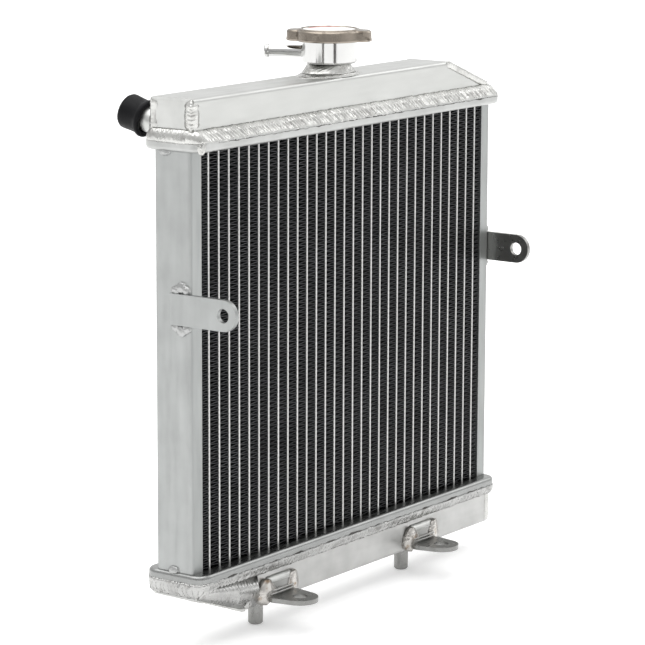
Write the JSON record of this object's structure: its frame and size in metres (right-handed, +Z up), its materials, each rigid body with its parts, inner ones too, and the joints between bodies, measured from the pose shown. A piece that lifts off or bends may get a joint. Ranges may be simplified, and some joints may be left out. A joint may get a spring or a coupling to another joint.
{
  "type": "car radiator",
  "caption": "Aluminium cross-mounted car radiator with a finned core, box tanks, side straps, a filler neck with a pressure cap, and rear hose pipes.",
  "frame": {"origin": "midway between the two locating pins, where they meet the underside of the bottom tank", "axes": "+X along the core's width, +Y towards the back, where the hose pipes are, +Z up"},
  "size_m": [0.3314, 0.0946, 0.3688],
  "materials": {
    "brushed_aluminium": "satin",
    "tube_aluminium": "satin",
    "fin_black": "semi-matte",
    "polished_neck": "polished",
    "cap_steel": "brushed",
    "plated_steel": "satin",
    "valve_brass": "satin",
    "spring_steel": "satin",
    "seal_rubber": "matte",
    "black_rubber": "matte"
  },
  "bodies": {
    "radiator": {"core_tube_01": "tube_aluminium", "core_tube_02": "tube_aluminium", "core_tube_03": "tube_aluminium", "core_tube_04": "tube_aluminium", "core_tube_05": "tube_aluminium", "core_tube_06": "tube_aluminium", "core_tube_07": "tube_aluminium", "core_tube_08": "tube_aluminium", "core_tube_09": "tube_aluminium", "core_tube_10": "tube_aluminium", "core_tube_11": "tube_aluminium", "core_tube_12": "tube_aluminium", "core_tube_13": "tube_aluminium", "core_tube_14": "tube_aluminium", "core_tube_15": "tube_aluminium", "core_tube_16": "tube_aluminium", "core_tube_17": "tube_aluminium", "core_tube_18": "tube_aluminium", "core_tube_19": "tube_aluminium", "core_tube_20": "tube_aluminium", "core_tube_21": "tube_aluminium", "core_tube_22": "tube_aluminium", "core_tube_23": "tube_aluminium", "core_tube_24": "tube_aluminium", "core_tube_25": "tube_aluminium", "core_tube_26": "tube_aluminium", "core_tube_27": "tube_aluminium", "core_tube_28": "tube_aluminium", "core_tube_29": "tube_aluminium", "core_tube_30": "tube_aluminium", "fin_rows": "fin_black", "core_side_plates": "brushed_aluminium", "top_header_plate": "brushed_aluminium", "bottom_header_plate": "brushed_aluminium", "top_tank_shell": "brushed_aluminium", "top_tank_left_end": "brushed_aluminium", "top_tank_right_end": "brushed_aluminium", "bottom_tank_shell": "brushed_aluminium", "bottom_tank_right_end": "brushed_aluminium", "bottom_tank_left_end": "brushed_aluminium", "left_side_channel": "brushed_aluminium", "right_side_channel": "brushed_aluminium", "left_side_strap": "brushed_aluminium", "right_side_strap": "brushed_aluminium", "left_lower_bracket": "brushed_aluminium", "right_lower_bracket": "brushed_aluminium", "locating_pins": "brushed_aluminium", "inlet_pipe": "brushed_aluminium", "outlet_pipe": "brushed_aluminium", "filler_neck": "polished_neck", "overflow_nipple": "polished_neck"},
    "cap_core": {"cap_bell": "plated_steel", "pressure_spring": "spring_steel"},
    "cap_cover": {"cap_shell": "cap_steel", "cap_spring_disc": "plated_steel"},
    "pressure_valve": {"pressure_valve": "plated_steel", "pressure_seal": "seal_rubber"},
    "vacuum_valve": {"vacuum_valve": "valve_brass"},
    "inlet_cover": {"inlet_rubber_cap": "black_rubber"},
    "outlet_cover": {"outlet_rubber_cap": "black_rubber"}
  },
  "joints": [
    {"name": "cap_lift", "type": "slide", "parent": "radiator", "child": "cap_core", "axis": [0, 0, 1], "range_m": [0, 0.03]},
    {"name": "cap_turn", "type": "hinge", "parent": "cap_core", "child": "cap_cover", "pos_m": [-0.004, 0, 0.345], "axis": [0, 0, 1], "range_deg": [-90, 0]},
    {"name": "pressure_valve_open", "type": "slide", "parent": "cap_core", "child": "pressure_valve", "axis": [0, 0, 1], "range_m": [0, 0.0028], "stiffness_N_per_m": 1500, "deforming": ["pressure_spring"]},
    {"name": "vacuum_valve_open", "type": "slide", "parent": "pressure_valve", "child": "vacuum_valve", "axis": [0, 0, 1], "range_m": [-0.0018, 0], "stiffness_N_per_m": 60, "springref_m": 0.002},
    {"name": "inlet_cover_pull", "type": "slide", "parent": "radiator", "child": "inlet_cover", "axis": [0, 0.9636, 0.2672], "range_m": [0, 0.03]},
    {"name": "outlet_cover_pull", "type": "slide", "parent": "radiator", "child": "outlet_cover", "axis": [0, 1, 0], "range_m": [0, 0.03]}
  ]
}
